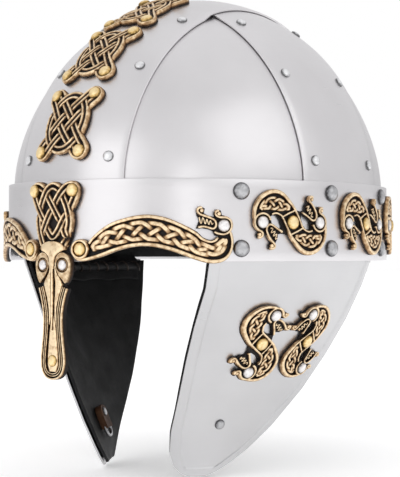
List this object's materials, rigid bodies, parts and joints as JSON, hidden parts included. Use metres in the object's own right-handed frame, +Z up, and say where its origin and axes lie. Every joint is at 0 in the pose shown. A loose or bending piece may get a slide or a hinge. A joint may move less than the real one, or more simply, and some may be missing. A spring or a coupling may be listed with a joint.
{
  "type": "norse iron helmet",
  "caption": "Spangenhelm of riveted steel panels and crossing bands, with cast nasal and eyebrows, knot and dragon plaques, and leather-hung cheek flaps.",
  "frame": {"origin": "middle of the brow opening, level with the brow band's lower edge, where the head sits", "axes": "+Z up to the crown, -Y the way the face looks, +X to the wearer's left"},
  "size_m": [0.2242, 0.2604, 0.2811],
  "materials": {
    "steel": "satin polished sheet steel",
    "bronze": "antiqued bronze casting with bright ridges and dark hollows",
    "black_leather": "matt black leather",
    "brown_leather": "brown leather",
    "wire": "drawn steel wire"
  },
  "bodies": {
    "root": {"front_back_band": "steel", "side_band": "steel", "panel_front_left": "steel", "panel_front_right": "steel", "panel_back_left": "steel", "panel_back_right": "steel", "brow_band": "steel", "lining_band": "black_leather", "nasal": "bronze", "eyebrow_left": "bronze", "eyebrow_right": "bronze", "knot_plaque_low": "bronze", "knot_plaque_middle": "bronze", "knot_plaque_top": "bronze", "brow_dragon_1_left": "bronze", "brow_dragon_1_right": "bronze", "brow_dragon_2_left": "bronze", "brow_dragon_2_right": "bronze", "brow_dragon_3_left": "bronze", "brow_dragon_3_right": "bronze", "brow_dragon_4_left": "bronze", "brow_dragon_4_right": "bronze", "brow_dragon_nape": "bronze", "cheek_flap_left": "steel", "cheek_flap_right": "steel", "cheek_lining_left": "black_leather", "cheek_lining_right": "black_leather", "cheek_dragon_front_left": "bronze", "cheek_dragon_front_right": "bronze", "cheek_dragon_back_left": "bronze", "cheek_dragon_back_right": "bronze", "hinge_leather_left": "black_leather", "hinge_leather_right": "black_leather", "hinge_roll_left": "black_leather", "hinge_roll_right": "black_leather", "chin_tab_left": "brown_leather", "chin_tab_right": "brown_leather", "chin_ring_left": "wire", "chin_ring_right": "wire"}
  },
  "joints": []
}
